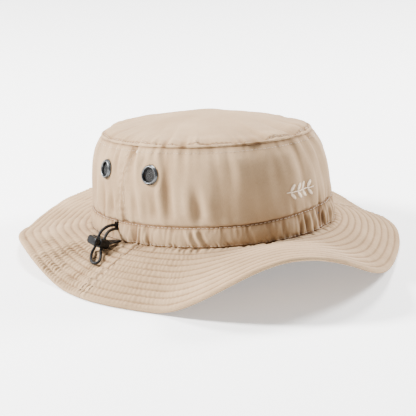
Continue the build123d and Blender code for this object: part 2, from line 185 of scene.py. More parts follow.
# ---------------------------------------------------------------- materials
class Shader:
    """A material's nodes, added one at a time."""

    def __init__(self, name):
        self.material = bpy.data.materials.new(name)
        self.material.use_nodes = True
        self.tree = self.material.node_tree
        self.surface = self.tree.nodes["Principled BSDF"]

    def feed(self, inputs, values):
        """Gives sockets their values, each a plain value or another node's output."""
        for key, value in values.items():
            if isinstance(value, bpy.types.NodeSocket):
                self.tree.links.new(value, inputs[key])
            else:
                inputs[key].default_value = value

    def node(self, kind, values, **settings):
        """Adds a node and returns its outputs."""
        n = self.tree.nodes.new("ShaderNode" + kind)
        for key, value in settings.items():
            setattr(n, key, value)
        self.feed(n.inputs, values)
        return n.outputs

    def place(self, space):
        return self.node("TexCoord", {})[space]

    def turned(self, place, degrees):
        return self.node("Mapping", {0: place, "Rotation": (0, 0, math.radians(degrees))})[0]

    def ramp(self, source, stops):
        n = self.tree.nodes.new("ShaderNodeValToRGB")
        n.color_ramp.elements[0].position, n.color_ramp.elements[0].color = stops[0]
        n.color_ramp.elements[1].position, n.color_ramp.elements[1].color = stops[-1]
        for place, colour in stops[1:-1]:
            n.color_ramp.elements.new(place).color = colour
        self.feed(n.inputs, {0: source})
        return n.outputs[0]

    def multiply(self, factor, a, b):
        return self.node("Mix", {0: factor, 6: a, 7: b}, data_type="RGBA", blend_type="MULTIPLY")[2]

    def bump(self, height, strength, distance, under=None):
        values = {"Height": height, "Strength": strength, "Distance": distance}
        if under:
            values["Normal"] = under
        return self.node("Bump", values)[0]

    def finish(self, colour, normal, values):
        """Sets the surface's sockets and returns the material."""
        self.feed(self.surface.inputs, {"Base Color": colour, "Normal": normal, **values})
        return self.material


def rgba(r, g, b):
    return (r, g, b, 1.0)


def grey(level):
    return rgba(level, level, level)


YARN_BLACKS = (grey(0.0015), rgba(0.007, 0.007, 0.0075))
YARN_GLOSS = {"Roughness": 0.5, "Specular IOR Level": 0.22}


def cloth_material(name, base, dark, light, weave=45.0, sheen=0.06):
    """Cotton twill: diagonal ribs on the cloth's own UVs, with slubs and soft mottling, and painted shade in
    creases and hollows with lighter rubbed ridges, read from a per-point attribute.
    """
    s = Shader(name)
    uv = s.place("UV")
    twill = s.node("TexWave", {0: s.turned(uv, 62), "Scale": weave, "Distortion": 0.6, "Detail": 1.0})[1]
    stretched = s.node("Mapping", {0: uv, "Scale": (1.0, 0.25, 1.0)})[0]
    yarn = s.node("TexNoise", {0: stretched, "Scale": 260.0, "Detail": 2.0})[0]
    mottle = s.node("TexNoise", {0: s.place("Object"), "Scale": 28.0, "Detail": 4.0, "Roughness": 0.6})[0]
    tint = s.ramp(mottle, [(0.3, dark), (0.52, base), (0.72, light)])
    tint = s.multiply(0.9, tint, s.ramp(yarn, [(0.3, grey(0.86)), (0.7, grey(1))]))
    tint = s.multiply(0.85, tint, s.ramp(twill, [(0.0, grey(0.86)), (0.55, grey(1))]))
    # painted shade: the per-point attribute darkens creases, hollows and sunk stitch rows, where shade
    # falls, and lightens rubbed ridges and edges, which is wear
    shade_and_wear = s.node("Attribute", {}, attribute_name="shade_and_wear")["Fac"]
    shaded_and_worn = s.ramp(shade_and_wear, [(0.0, rgba(0.4, 0.32, 0.26)), (0.3, rgba(0.76, 0.71, 0.66)), (0.5, grey(1)),
                         (1.0, rgba(1.16, 1.17, 1.18))])
    normal = s.bump(yarn, 0.3, 0.00015, s.bump(twill, 0.35, 0.00012))
    return s.finish(s.multiply(1.0, tint, shaded_and_worn), normal, {
        "Roughness": 0.95, "Specular IOR Level": 0.12, "Sheen Weight": sheen, "Sheen Roughness": 0.5})


def thread_material(name, base, twist=1500.0, gloss=0.55, sheen=0.3):
    """Twisted sewing thread, with its plies as fine diagonal bumps."""
    s = Shader(name)
    values = {0: s.place("Object"), "Scale": twist, "Distortion": 1.0}
    plies = s.node("TexWave", values, bands_direction="DIAGONAL")[1]
    shade = rgba(*(c * 0.82 for c in base[:3]))
    tint = s.ramp(plies, [(0.0, shade), (0.8, base)])
    return s.finish(tint, s.bump(plies, 0.4, 0.00008), {"Roughness": gloss, "Sheen Weight": sheen})


def braid_material():
    """Black braided elastic: a fine crossed weave along the cord."""
    s = Shader("black_braid")
    uv = s.place("UV")
    left, right = (s.node("TexWave", {0: s.turned(uv, turn), "Scale": 42.0})[1] for turn in (35, -35))
    both = s.node("Math", {0: left, 1: right}, operation="MAXIMUM")[0]
    tint = s.ramp(both, [(0.3, YARN_BLACKS[0]), (1.0, YARN_BLACKS[1])])
    return s.finish(tint, s.bump(both, 0.5, 0.0002), YARN_GLOSS)


def ribbon_material():
    """Black grosgrain: close ribs across the ribbon."""
    s = Shader("black_grosgrain")
    ribs = s.node("TexWave", {0: s.place("UV"), "Scale": 52.0, "Distortion": 0.3})[1]
    tint = s.ramp(ribs, [(0.1, YARN_BLACKS[0]), (0.9, YARN_BLACKS[1])])
    return s.finish(tint, s.bump(ribs, 0.6, 0.0002), YARN_GLOSS)


def plastic_material():
    """Black acetal: a satin moulded skin with faint flow marks and handling scuffs."""
    s = Shader("black_acetal")
    place = s.place("Object")
    skin = s.node("TexNoise", {0: place, "Scale": 900.0, "Detail": 3.0})[0]
    scuffs = s.node("TexNoise", {0: place, "Scale": 260.0, "Detail": 6.0, "Distortion": 1.2})[0]
    tint = s.ramp(scuffs, [(0.45, rgba(0.002, 0.002, 0.0022)), (0.75, rgba(0.008, 0.008, 0.0085))])
    rough = s.ramp(scuffs, [(0.35, grey(0.26)), (0.7, grey(0.45))])
    return s.finish(tint, s.bump(skin, 0.12, 0.0001), {"Roughness": rough, "Specular IOR Level": 0.16})


def metal_material(name, base, bright, roughness):
    """Plated brass or steel: brighter where it is rubbed, with fine polishing marks."""
    s = Shader(name)
    marks = s.node("TexNoise", {0: s.place("Object"), "Scale": 700.0, "Detail": 5.0, "Distortion": 0.8})[0]
    tint = s.ramp(marks, [(0.4, base), (0.75, bright)])
    rough = s.ramp(marks, [(0.3, grey(roughness * 0.8)), (0.8, grey(roughness * 1.3))])
    return s.finish(tint, s.bump(marks, 0.03, 0.00005), {"Roughness": rough, "Metallic": 1.0})


# ---------------------------------------------------------------- noise and shapes
def lattice(x, y, z, seed):
    h = (x * 374761393 + y * 668265263 + z * 1442695041 + seed * 974634777) & 0xFFFFFFFF
    h = ((h ^ (h >> 13)) * 1274126177) & 0xFFFFFFFF
    return ((h ^ (h >> 16)) & 0xFFFF) / 32767.5 - 1.0


def noise(x, y, z, seed=0):
    """Smooth value noise, about -1 to 1, over arrays of places."""
    x, y, z = np.broadcast_arrays(*(np.asarray(v, float) for v in (x, y, z)))
    cell = [np.floor(v).astype(np.int64) for v in (x, y, z)]
    part = [v - c for v, c in zip((x, y, z), cell)]
    ease = [p * p * p * (p * (p * 6 - 15) + 10) for p in part]
    total = np.zeros(x.shape)
    for i in (0, 1):
        for j in (0, 1):
            for k in (0, 1):
                weight = 1.0
                for step, e in zip((i, j, k), ease):
                    weight = weight * (e if step else 1 - e)
                total += weight * lattice(cell[0] + i, cell[1] + j, cell[2] + k, seed)
    return total


def bump(angle, centre, before, after):
    off = (angle - centre + 180.0) % 360.0 - 180.0
    half = np.where(off < 0, before, after)
    return np.where(np.abs(off) < half, 0.5 + 0.5 * np.cos(np.pi * off / half), 0.0)


def gauss(x, width):
    return np.exp(-((x / width) ** 2))


heights = np.arange(-12.0, 76.0, 0.25)
scales = np.interp(heights, [h for h, _ in PROFILE], [s for _, s in PROFILE])
kernel = gauss(np.arange(-10, 10.1, 0.25), 4.0)
scales = np.convolve(np.pad(scales, 40, mode="reflect", reflect_type="odd"), kernel / kernel.sum(), "valid")


def oval(angle):
    """The base seam oval's point and outward normal, millimetres."""
    a = np.radians(angle)
    x, y = HALF_WIDTH * np.cos(a), HALF_LENGTH * np.sin(a)
    nx, ny = np.cos(a) / HALF_WIDTH, np.sin(a) / HALF_LENGTH
    size = np.hypot(nx, ny)
    return x, y, nx / size, ny / size


fine_angles = np.linspace(0.0, 360.0, 7201)
fine_x, fine_y, _, _ = oval(fine_angles)
fine_run = np.concatenate([[0], np.cumsum(np.hypot(np.diff(fine_x), np.diff(fine_y)))])
GIRTH = fine_run[-1]


def girth_run(angle):
    """The distance, mm, round the base seam oval from angle 0."""
    return np.interp(np.asarray(angle) % 360.0, fine_angles, fine_run)


def needle_holes(angle, waves):
    """0 to 1 and back once for each of a number of even stitches round the oval."""
    return 0.5 + 0.5 * np.cos(2 * np.pi * waves * girth_run(angle) / GIRTH)


def crown_frame(height):
    """The axes of the plane across the crown at a height: across, back and up."""
    pitch = np.radians(CROWN_PITCH + TOP_PITCH_GAIN * height / WALL_HEIGHT)
    roll = np.radians(TOP_ROLL * height / WALL_HEIGHT)
    zero = 0 * pitch
    across = np.stack([np.cos(roll), zero, np.sin(roll)], axis=-1)
    back = np.stack([zero, np.cos(pitch), -np.sin(pitch)], axis=-1)
    up = np.cross(across, back)
    up /= np.linalg.norm(up, axis=-1, keepdims=True)
    return across, np.cross(up, across), up


def crown(angle, height, out):
    """A point of the crown's side, millimetres, out from the plain surface."""
    angle, height, out = np.broadcast_arrays(*(np.asarray(v, float) for v in (angle, height, out)))
    x, y, nx, ny = oval(angle)
    scale = np.interp(height, heights, scales)
    across, back, _ = crown_frame(height)
    lean = np.radians(CROWN_PITCH)
    centre = BASE_CENTRE + height[..., None] * np.array([0, np.sin(lean), np.cos(lean)])
    return centre + across * (x * scale + nx * out)[..., None] + back * (y * scale + ny * out)[..., None]


def even_angles(start, end, step):
    """Angles that step evenly round the base seam oval, the ends included."""
    fine = np.linspace(start, end, 4000)
    x, y, _, _ = oval(fine)
    run = np.concatenate([[0], np.cumsum(np.hypot(np.diff(x), np.diff(y)))])
    count = max(2, int(round(run[-1] / step)))
    return np.interp(np.linspace(0, run[-1], count + 1), run, fine), np.linspace(0, run[-1], count + 1)


# ---------------------------------------------------------------- the cloth's surfaces
# standing folds of the crown's side: angle, half width, height of the fold, its middle, its half height
FOLDS = [
    (208.5, 2.6, 1.7, 36, 26), (212.5, 2.6, -1.3, 38, 22), (216.5, 2.8, 1.0, 30, 20),
    (205.5, 2.4, -0.9, 24, 12), (221.5, 3.6, 1.5, 27, 18), (226.5, 3.2, -1.3, 26, 16),
    (231, 3.4, 1.0, 25, 15), (239, 6.0, -1.0, 34, 26), (247, 4.0, 0.8, 50, 18),
    (256, 6.0, 0.7, 34, 24), (266, 5.0, -0.6, 36, 22), (275, 4.0, 0.7, 48, 16),
    (282, 4.0, -0.8, 30, 14), (290, 4.0, 0.9, 34, 18), (298, 4.5, -0.7, 40, 16),
    (199, 2.4, 1.1, 26, 14), (195, 2.0, -1.0, 28, 12), (183, 2.6, 1.3, 24, 12),
    (179.5, 2.2, -1.2, 24, 12), (176, 2.6, 1.2, 25, 11), (171, 2.6, -1.2, 27, 14),
    (166, 2.6, 1.1, 27, 14), (160, 3.0, -1.0, 30, 16), (196.5, 2.2, 1.0, 55, 12),
    (200, 2.0, -0.9, 56, 10), (184.5, 2.2, 1.1, 55, 12), (181.5, 2.0, -0.9, 54, 11),
]


def pull(angle, levels):
    """A level all round the hat, with smooth peaks at some angles."""
    level, peaks = levels
    return level + sum(size * bump(angle, centre, before, after) for centre, before, after, size in peaks)


def band_line(angle):
    """The height of the stitched line that closes the drawcord's band."""
    return pull(angle, BAND_LINE)


def from_vent(angle, height, vent):
    """The distance, mm, of a place on the crown's side from a vent's middle."""
    x, y, _, _ = oval(angle)
    vx, vy, _, _ = oval(vent)
    return np.sqrt((x - vx) ** 2 + (y - vy) ** 2 + (height - VENT_HEIGHT) ** 2)


def vent_mask(angle, height):
    """0 at a vent eyelet, where the cloth is clamped flat, rising to 1 away from it."""
    keep = 1.0
    for vent in VENT_ANGLES:
        keep = keep * np.clip((from_vent(angle, height, vent) - CLAMP_RADIUS) / CLAMP_FADE, 0, 1) ** 1.2
    return keep


def seam_angle(side, height):
    """The angle of a side seam, which slants and wanders a little down the crown."""
    wander = 0.8 * np.sin(height / 9.0 + side) + 0.05 * (height - 38)
    return 180 + SIDE_SEAM - 1.0 + wander if side else 360 - SIDE_SEAM + 1.0 - wander


def seam_distance(angle, height):
    """The distance, mm, round the crown from the nearer side seam, and its sign."""
    x, y, _, _ = oval(angle)
    far = np.full(np.shape(x + height), 1e3)
    for side in (0, 1):
        sx, sy, _, _ = oval(seam_angle(side, height))
        this = np.hypot(x - sx, y - sy) * np.sign(y - sy)
        far = np.where(np.abs(this) < np.abs(far), this, far)
    return far


def pleats(angle, pitch, seed, skew=0.0):
    """Uneven pleats round the oval, -1 in their valleys and 1 on their crests."""
    x, y, _, _ = oval(angle + skew)
    coarse = noise(x / (pitch * 2.6), y / (pitch * 2.6), seed + 0.37, seed)
    fine = noise(x / pitch, y / pitch, seed + 0.71, seed + 1)
    return np.clip(1.6 * fine + 0.6 * coarse, -1.4, 1.4) - 0.5 * np.abs(fine)


def gathered(angle, away, gathers):
    """Pleats that fade with the distance, mm, from the seam that gathers them."""
    total = 0.0
    for size, pitch, seed, skew, reach, start in gathers:
        fade = np.exp(-away / reach) * (np.clip(away / start, 0, 1) if start else 1.0)
        total = total + size * pleats(angle, pitch, seed, skew * away) * fade
    return total


def side_seam_relief(angle, height):
    """The side seams: a flat welt between two sunk rows of stitches, with puckers beside it."""
    seam = seam_distance(angle, height)
    welt = 0.5 * np.clip(1 - np.abs(seam / 3.6) ** 4, 0, 1) - 0.5 * gauss(np.abs(seam) - 2.2, 0.6)
    return welt + 0.55 * gauss(seam, 6.0) * noise(0.35 * seam + 3, 0.0, height / 2.4, 30)


def wall_out(angle, height):
    """How far the crown's side stands out of the plain surface, mm: below the band's line it tucks in."""
    x, y, _, _ = oval(angle)
    mask = vent_mask(angle, height)
    line = band_line(angle)
    from_top = np.clip(WALL_HEIGHT - height, 0, None)
    from_band = np.clip(height - line, 0, None)
    free = np.clip((height - line) / SEAM_HOLD, 0, 1)
    free = free * np.clip((WALL_HEIGHT - 0.5 - height) / SEAM_HOLD, 0, 1)
    soft = 1.1 * noise(x / 26, y / 26, height / 50, 3) + 0.5 * noise(x / 10, y / 10, height / 26, 4)
    folds = 0.0
    for centre, half, size, middle, tall in FOLDS:
        lean = FOLD_LEAN * (height - middle)
        across = bump(angle + lean, centre, half * FOLD_WIDEN, half * FOLD_WIDEN)
        folds = folds + FOLD_SIZE * size * across * gauss(height - middle, tall * FOLD_SHORTEN)
    top = gathered(angle, from_top, WALL_TOP_GATHERS) * np.clip(0.08 + from_top / 4.5, 0, 1)
    foot = gathered(angle, from_band, WALL_FOOT_GATHERS)
    sewn = -0.25 * gauss(from_top - 0.4, 1.0)
    total = (soft + folds + side_seam_relief(angle, height)) * free + sewn
    total = total + top * pull(angle, WALL_TOP_PULL) + foot * pull(angle, WALL_FOOT_PULL)
    total = total * mask - 0.25 * (1 - mask)
    total = total - 0.9 * gauss(height - line, 1.1)
    behind = np.clip((line + 0.6 - height) / 4.0, 0, 1)
    return total * (1 - behind) - TUCK * behind


def wall(angle, height, lift=0.0):
    return crown(angle, height, wall_out(angle, height) + lift)


def band_out(angle, height):
    """How far the drawcord's band stands out of the plain surface, mm, with both its edges turned in."""
    line = band_line(angle)
    part = np.clip(height / line, 0, 1)
    inside = np.sin(np.pi * part) ** 0.7
    skew = 0.12 * (height - BAND_MIDDLE)
    gathers = 1.15 * pleats(angle, 3.4, 12, skew) + 0.55 * pleats(angle, 2.0, 14, -skew)
    gathers = gathers * pull(angle, BAND_PULL) * (0.25 + 0.75 * inside)
    for centre in BAND_RIDGES:
        slanted = angle + 0.25 * (height - BAND_MIDDLE)
        gathers = gathers + 1.3 * bump(slanted, centre, 1.7, 1.9) * inside
        gathers = gathers - 0.7 * bump(slanted, centre + 2.4, 1.6, 1.6) * inside
    tiny = 0.5 * gauss(height - 1.6, 1.7) * pleats(angle, 1.25, 16, 0.3 * height)
    tiny = tiny + 0.3 * gauss(height - line + 1.5, 1.6) * pleats(angle, 1.5, 18)
    sewn = -0.5 * gauss(height - line, 0.9)
    turned_foot = 1.6 * np.clip((0.8 - height) / 1.7, 0, 1) ** 1.5
    turned_top = 1.2 * np.clip((height - line) / 1.2, 0, 1) ** 2
    return BAND_PUFF * inside + gathers + tiny + sewn - turned_foot - turned_top


def band(angle, height, lift=0.0):
    return crown(angle, height, band_out(angle, height) + lift)


def dome(angle, k, lift=0.0):
    """The crown's top: k is 0 in the middle and 1 at the seam, past which its lip turns down."""
    x, y, nx, ny = oval(angle)
    scale = np.interp(WALL_HEIGHT, heights, scales)
    inner = np.clip(k, 0, 1)
    turn = np.clip((k - 1) / LIP, 0, 1) * np.pi / 2
    from_seam = (1 - inner) * DOME_REACH
    px, py = x * scale * inner, y * scale * inner
    soft = 1.3 * noise(px / 34, py / 34, 0.2, 40) + 0.5 * noise(px / 15, py / 15, 0.7, 41)
    soft = soft * np.clip(from_seam / 12, 0, 1)
    strong = pull(angle, DOME_PULL)
    gathers = gathered(angle, from_seam, DOME_GATHERS)
    sewn = -0.75 * gauss(from_seam - 1.6, 0.7) + 0.25 * gauss(from_seam - 0.5, 0.6)
    round_over = 1.1 * gauss(from_seam - 7.0, 5.0)
    rise = DOME_RISE * (1 - inner**DOME_POWER) + soft + gathers * strong + sewn + round_over + 0.45 + lift
    rim = 0.15 * strong * pleats(angle, 3.4, 8) * gauss(from_seam, 2.5)
    out = 0.1 + (0.45 + lift) * np.sin(turn) + rim
    rise = rise - (1.3 + lift) * (1 - np.cos(turn))
    fade = out * np.clip(1 - from_seam / 4, 0, 1)
    lean = np.radians(CROWN_PITCH)
    across, back, up = crown_frame(np.array(WALL_HEIGHT))
    centre = BASE_CENTRE + WALL_HEIGHT * np.array([0, np.sin(lean), np.cos(lean)])
    return (centre + across * (px + nx * fade)[..., None] + back * (py + ny * fade)[..., None]
            + up * (rise + 0 * px)[..., None])


def brim_reference(angle, along):
    """The brim's underside, plain: along is the distance from the base seam, mm."""
    foot = crown(angle, 0.0, 0.0) - np.array([0, 0, BRIM_STACK])
    _, _, nx, ny = oval(angle)
    way = np.degrees(np.arctan2(foot[..., 1] - BASE_CENTRE[1], foot[..., 0] - BASE_CENTRE[0])) % 360
    width = BRIM_WIDTH + sum(d * bump(way, c, w, w) for c, w, d in WIDTH_CHANGES)
    drop = pull(way, (0.0, CRESTS)) - foot[..., 2]
    reach = np.sqrt(width**2 - drop**2)
    t = along / BRIM_WIDTH
    place = foot + np.stack([nx * reach * t, ny * reach * t, drop * t], axis=-1)
    place[..., 2] += 4 * BRIM_BULGE * t * (1 - t)
    return place


def brim_normal(angle, along):
    """The upward normal of the plain brim."""
    d = 0.4
    da = brim_reference(angle + d, along) - brim_reference(angle - d, along)
    db = brim_reference(angle, along + d) - brim_reference(angle, along - d)
    n = np.cross(db, da)
    n = n / np.linalg.norm(n, axis=-1, keepdims=True)
    return n * np.sign(n[..., 2:3])


def brim_strength(angle, along):
    """How hard the brim's stitching gathers its cloth: hard at the back right, lightly in front."""
    t = np.clip(along / BRIM_WIDTH, 0, 1)
    side = bump(angle, 184, 42, 29) * np.clip(0.5 + 0.9 * t, 0, 1.2)
    return side + pull(angle, BRIM_PULL)


def row_phase(along):
    """0 on a row of stitches and 0.5 half way to the next."""
    return ((BRIM_WIDTH - LAST_ROW - along) / ROW_GAP) % 1.0


def brim_relief(angle, along, face):
    """The quilted relief of the brim, mm: puffs between rows of stitches and short pleats across them.
    face is 0 above and 10 below, so that the two faces crease differently."""
    x, y, nx, ny = oval(angle)
    strong = brim_strength(angle, along)
    q = row_phase(along)
    channel = np.floor((BRIM_WIDTH - LAST_ROW - along) / ROW_GAP)
    puff = (4 * q * (1 - q)) ** 0.5
    fringe = np.clip((BRIM_WIDTH - along) / LAST_ROW, 0, 1)
    rim = along > BRIM_WIDTH - LAST_ROW
    puff = np.where(rim, (4 * fringe * (1 - fringe) + 0.3 * (1 - fringe)) ** 0.6, puff)
    middle = BRIM_WIDTH - LAST_ROW - (channel + 0.5) * ROW_GAP
    mx, my = x + nx * middle, y + ny * middle
    px, py = x + nx * along, y + ny * along
    waves = np.round((GIRTH + 2 * np.pi * middle) / PLEAT)
    wander = 3.2 * noise(mx / 8, my / 8, channel * 0.9 + 0.4, 52 + face)
    phase = waves * 2 * np.pi * girth_run(angle) / GIRTH + wander + 2.1 * channel + 1.8 * (q - 0.5)
    short = 2.0 * np.abs(np.cos(phase / 2)) ** 0.8 - 1.0
    uneven = 0.65 + 0.5 * noise(px / 12, py / 12, 0.8, 57)
    pleat = short * np.clip(puff, 0.12, 1) * uneven
    drift = 0.35 * along
    wide = noise((x + drift) / 7.5, (y - drift) / 7.5, 0.6, 53 + face) + 0.6 * noise(px / 9, py / 9, 0.2, 58)
    size = 0.75 + 0.25 * noise(px / 9, py / 9, 0.4, 50 + face)
    fine = 0.16 * noise(px / 1.5, py / 1.5, 0.3, 54) * (1.25 - puff)
    joins = 0.0
    for seam in BRIM_SEAMS:
        sx, sy, _, _ = oval(seam)
        far = np.hypot(x - sx, y - sy)
        ridge = 0.3 * gauss(far - 2.0, 1.3) * (1 + 0.4 * noise(along / 2.2, 0.3, seam, 5))
        joins = joins - 0.7 * gauss(far, 0.8) + ridge
    near = 0.6 * gauss(along - 2.0, 2.2) * pleats(angle, 1.6, 56)
    return PUFF_SIZE * size * (puff - 0.2) + strong * (pleat + 0.8 * wide) + fine + joins + near


def rounded_edge(along):
    """0 on the brim and 1 at its very edge, where its faces curve together."""
    edge = np.clip((along - BRIM_WIDTH + EDGE_ROUND) / EDGE_ROUND, 0, 1)
    return 1 - np.sqrt(np.clip(1 - edge**2, 0, 1))


def flat_at_edge(along):
    return np.clip((BRIM_WIDTH - along) / 1.2, 0, 1) ** 0.7


def brim_top(angle, along, lift=0.0):
    relief = brim_relief(angle, along, 0) * flat_at_edge(along)
    height = BRIM_STACK - 0.25 + relief - 0.75 * rounded_edge(along)
    place = brim_reference(angle, along) + brim_normal(angle, along) * (height + lift)[..., None]
    place[..., 2] = np.maximum(place[..., 2], TOP_CLEAR + lift)
    return place


def brim_under(angle, along, lift=0.0):
    relief = 0.55 * brim_relief(angle, along, 10) * flat_at_edge(along)
    height = 0.12 - 0.5 * relief + 0.5 * rounded_edge(along) - lift
    place = brim_reference(angle, along) + brim_normal(angle, along) * height[..., None]
    place[..., 2] = np.maximum(place[..., 2], FLOOR_GAP - 0.9 * min(lift, 0.0))
    return place


# ---------------------------------------------------------------- meshes
def add_mesh(name, points, faces, material):
    """A smooth mesh object from points in millimetres."""
    mesh = bpy.data.meshes.new(name)
    mesh.from_pydata((np.asarray(points) * MM).tolist(), [], faces)
    mesh.polygons.foreach_set("use_smooth", [True] * len(mesh.polygons))
    mesh.materials.append(material)
    return new_object(name, mesh)


def set_uv(mesh, uv):
    """Gives each face's corner the flat place, mm, of its vertex: 100 mm of cloth is 1."""
    layer = mesh.uv_layers.get("UVMap") or mesh.uv_layers.new(name="UVMap")
    corners = np.empty(len(mesh.loops), np.int32)
    mesh.loops.foreach_get("vertex_index", corners)
    layer.data.foreach_set("uv", (np.asarray(uv)[corners] / UV_MM).astype(np.float32).ravel())


def shell(name, upper, lower, material, u, v, ring=False, keep=None, shade_and_wear=None):
    """A closed piece of cloth from its two faces, each a grid of points, with its raw edges.
    ring joins the last row to the first, keep says which cells are there, and the last argument is each
    upper point's painted shade in creases and wear on ridges."""
    rows, columns = upper.shape[:2]
    index = np.arange(rows * columns).reshape(rows, columns)
    first, after = (index, np.roll(index, -1, axis=0)) if ring else (index[:-1], index[1:])
    quads = np.stack([first[:, :-1], after[:, :-1], after[:, 1:], first[:, 1:]], axis=-1)
    if keep is not None:
        quads = quads[keep[: quads.shape[0], : quads.shape[1]]]
    quads = quads.reshape(-1, 4)
    edges = np.concatenate([quads[:, [i, (i + 1) % 4]] for i in range(4)])
    offset = rows * columns
    forward = edges[:, 0] * (offset + 1) + edges[:, 1]
    backward = edges[:, 1] * (offset + 1) + edges[:, 0]
    rim = edges[~np.isin(forward, backward)]
    sides = np.stack([rim[:, 1], rim[:, 0], rim[:, 0] + offset, rim[:, 1] + offset], axis=-1)
    faces = np.concatenate([quads, quads[:, ::-1] + offset, sides])
    points = np.concatenate([upper.reshape(-1, 3), lower.reshape(-1, 3)])
    used = np.unique(faces)
    renumber = np.full(len(points), -1)
    renumber[used] = np.arange(len(used))
    obj = add_mesh(name, points[used], [tuple(f) for f in renumber[faces].tolist()], material)
    flat = np.stack(np.broadcast_arrays(u[:, None], v[None, :]), axis=-1).reshape(-1, 2)
    set_uv(obj.data, np.concatenate([flat, flat])[used])
    # painted shade and wear per point, 0.5 meaning neither; the lower face keeps 0.5
    tone = np.full(2 * offset, 0.5)
    if shade_and_wear is not None:
        tone[:offset] = shade_and_wear.ravel()
    layer = obj.data.attributes.new("shade_and_wear", "FLOAT", "POINT")
    layer.data.foreach_set("value", tone[used].astype(np.float32))
    tidy_mesh(obj)
    return obj


def tidy_mesh(obj):
    """Merges points that coincide and turns every face outward."""
    work = bmesh.new()
    work.from_mesh(obj.data)
    bmesh.ops.remove_doubles(work, verts=work.verts, dist=1e-6)
    bmesh.ops.recalc_face_normals(work, faces=work.faces)
    work.to_mesh(obj.data)
    work.free()


def shade_and_wear_from(relief, wide):
    """Painted shade and wear from relief: 0, darkest, in a crease where shade falls, 0.5 on plain cloth, 1,
    lighter from wear, on a rubbed ridge.
    """
    return np.clip(0.5 + relief / wide, 0, 1)


def stitch_shape():
    """One stitch: a short bowed capsule along X, with its ends sunk into the cloth."""
    sides, stations = 5, [(-0.5, 0.55), (-0.3, 1.0), (0.3, 1.0), (0.5, 0.55)]
    points = [(-0.56, 0.0, -1.0)]
    for x, r in stations:
        for i in range(sides):
            a = 2 * math.pi * i / sides
            points.append((x, r * math.cos(a), r * math.sin(a) + 0.9 - 6.0 * x * x))
    points.append((0.56, 0.0, -1.0))
    faces = []
    last = len(points) - 1
    for i in range(sides):
        j = (i + 1) % sides
        faces.append((0, 1 + j, 1 + i, 1 + i))
        faces.append((last, last - sides + i, last - sides + j, last - sides + j))
        for ring_start in range(1, 1 + sides * (len(stations) - 1), sides):
            faces.append((ring_start + i, ring_start + j, ring_start + sides + j, ring_start + sides + i))
    return np.array(points), faces


def stitches(name, rows, material):
    """Rows of thread stitches: each row is a surface and the parameters along it."""
    shape, faces = stitch_shape()
    all_points, all_faces = [], []
    count = 0
    for surface, a, b in rows:
        dense = surface(a, b)
        run = np.concatenate([[0], np.cumsum(np.linalg.norm(np.diff(dense, axis=0), axis=1))])
        pitch = STITCH + STITCH_GAP
        at = np.arange(pitch / 2, run[-1] - pitch / 2, pitch)
        start, end = (
            np.stack([np.interp(at + d, run, dense[:, i]) for i in range(3)], axis=-1) for d in (-0.9, 0.9)
        )
        pa, pb = np.interp(at, run, a), np.interp(at, run, b)
        centre = surface(pa, pb)
        along = end - start
        along /= np.linalg.norm(along, axis=1, keepdims=True)
        normal = surface(pa, pb, 0.5) - centre
        normal -= along * np.sum(normal * along, axis=1, keepdims=True)
        normal /= np.linalg.norm(normal, axis=1, keepdims=True)
        axes = np.stack([along, np.cross(normal, along), normal], axis=1)
        scaled = shape * np.array([STITCH, THREAD, THREAD])
        all_points.append((centre[:, None] + scaled @ axes).reshape(-1, 3))
        base = np.arange(len(at))[:, None, None] * len(shape) + count
        all_faces.append((np.array(faces)[None] + base).reshape(-1, 4))
        count += len(at) * len(shape)
    faces = [tuple(dict.fromkeys(f)) for f in np.concatenate(all_faces).tolist()]
    obj = add_mesh(name, np.concatenate(all_points), faces, material)
    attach(obj, "hat")


def stands_for(obj, body, nodes):
    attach(obj, body)
    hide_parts(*nodes)


# ---------------------------------------------------------------- sewn pieces
def to_edge(stop, step):
    """Distances from under the base seam out to the brim's edge, closer together at the edge."""
    return np.concatenate([np.arange(-1.6, BRIM_WIDTH - stop, step), BRIM_WIDTH - EDGE_STEPS])


def grid(rows, columns):
    return np.meshgrid(rows, columns, indexing="ij")


def all_round(surface, angles, level):
    """A row of stitches at one level all round the hat."""
    return surface, angles, np.full(len(angles), level)


